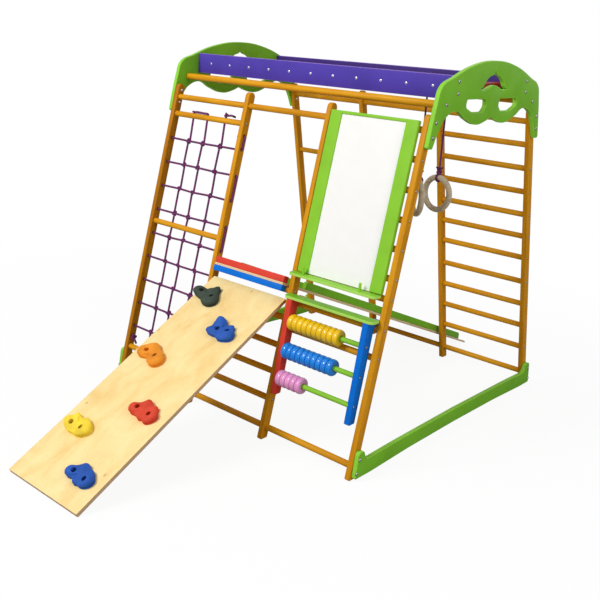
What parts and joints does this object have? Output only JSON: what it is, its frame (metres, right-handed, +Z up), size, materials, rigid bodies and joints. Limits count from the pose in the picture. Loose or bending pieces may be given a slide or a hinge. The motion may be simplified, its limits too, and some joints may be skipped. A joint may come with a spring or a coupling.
{
  "type": "kids indoor gym",
  "caption": "Wooden A-frame play gym with ladders, overhead rungs, laced net, hanging rings, climbing board with holds, slide, whiteboard and bead abacus.",
  "frame": {"origin": "on the floor under the middle of the whole toy, climbing board and slide included; the A-frame's own middle is 303 mm behind it", "axes": "+Z up, +X along the overhead beams towards the right-hand end, -Y towards the climbing board, +Y towards the slide's tail"},
  "size_m": [1.3706, 2.5524, 1.517],
  "materials": {
    "wood": "satin varnish, honey orange",
    "green_panel": "green paint, satin",
    "green_bright": "green paint, satin",
    "purple": "purple paint, red rungs",
    "red": "red",
    "blue": "blue",
    "plum_cord": "braided cord",
    "birch_ply": "clear varnish, pale",
    "white_sheet": "smooth white",
    "bead_yellow": "gloss",
    "bead_blue": "gloss",
    "bead_pink": "gloss",
    "ring_wood": "clear varnish",
    "hold_dark_green": "moulded, fine grain",
    "hold_orange": "moulded, fine grain"
  },
  "bodies": {
    "frame": {"front_post_1": "wood", "front_post_2": "wood", "front_post_3": "wood", "front_post_4": "wood", "rear_post_1": "wood", "rear_post_2": "wood", "rear_post_3": "wood", "rear_post_4": "wood", "front_top_rung": "wood", "front_bottom_rung": "wood", "rear_top_rung": "wood", "rear_bottom_rung": "wood", "net_rung": "wood", "left_mid_rung": "wood", "left_bottom_rung": "wood", "slide_rung": "wood", "board_rung": "wood", "rear_left_rung": "wood", "end_panel_left": "green_panel", "end_panel_right": "green_panel", "base_rail_left": "green_panel", "base_rail_right": "green_panel", "hand_bar_front": "wood", "hand_bar_rear": "wood", "top_beam_front": "purple", "top_beam_rear": "purple", "rope_net": "plum_cord", "whiteboard_frame": "green_bright", "whiteboard_sheet": "white_sheet", "pen_tray": "green_bright", "pen_peg_left": "green_bright", "pen_peg_right": "green_bright", "abacus_bar_red": "red", "abacus_bar_blue": "blue", "abacus_shelf": "green_bright", "abacus_rod_yellow": "green_bright", "abacus_rod_blue": "green_bright", "abacus_rod_pink": "green_bright"},
    "climbing_board": {"climbing_board": "birch_ply", "board_hook_left": "birch_ply", "board_hook_right": "birch_ply", "hold_green": "hold_dark_green", "hold_blue_upper": "blue", "hold_orange": "hold_orange", "hold_red": "red", "hold_yellow": "bead_yellow", "hold_blue_lower": "blue"},
    "slide": {"slide_bed": "birch_ply", "slide_head_bar_blue": "blue", "slide_head_bar_red": "red", "slide_rail_left": "green_panel", "slide_rail_right": "green_panel"},
    "rope_1": {"ring_rope_1": "plum_cord"},
    "ring_1": {"ring_1": "ring_wood"},
    "rope_2": {"ring_rope_2": "plum_cord"},
    "ring_2": {"ring_2": "ring_wood"},
    "yellow_beads": {"beads_yellow": "bead_yellow"},
    "blue_beads": {"beads_blue": "bead_blue"},
    "pink_beads": {"beads_pink": "bead_pink"}
  },
  "joints": [
    {"name": "board_lift", "type": "hinge", "parent": "frame", "child": "climbing_board", "pos_m": [0, -0.28422, 0.48], "axis": [-1, 0, 0], "range_deg": [0, 30]},
    {"name": "slide_lift", "type": "hinge", "parent": "frame", "child": "slide", "pos_m": [0, -0.26002, 0.587], "axis": [1, 0, 0], "range_deg": [0, 20]},
    {"name": "rope_swing_1", "type": "hinge", "parent": "frame", "child": "rope_1", "pos_m": [0.46624, 0.18076, 1.4165], "axis": [0, 1, 0], "range_deg": [-45, 45]},
    {"name": "ring_tilt_1", "type": "hinge", "parent": "rope_1", "child": "ring_1", "pos_m": [0.46624, 0.18076, 1.0306], "axis": [0.7431, -0.6691, 0], "range_deg": [-35, 35]},
    {"name": "rope_swing_2", "type": "hinge", "parent": "frame", "child": "rope_2", "pos_m": [0.46624, 0.33476, 1.4165], "axis": [0, 1, 0], "range_deg": [-45, 45]},
    {"name": "ring_tilt_2", "type": "hinge", "parent": "rope_2", "child": "ring_2", "pos_m": [0.46624, 0.33476, 1.0306], "axis": [0.9781, -0.2079, 0], "range_deg": [-35, 35]},
    {"name": "yellow_beads_slide", "type": "slide", "parent": "frame", "child": "yellow_beads", "axis": [1, 0, 0], "range_m": [0, 0.0922]},
    {"name": "blue_beads_slide", "type": "slide", "parent": "frame", "child": "blue_beads", "axis": [1, 0, 0], "range_m": [0, 0.0922]},
    {"name": "pink_beads_slide", "type": "slide", "parent": "frame", "child": "pink_beads", "axis": [1, 0, 0], "range_m": [0, 0.2142]}
  ]
}
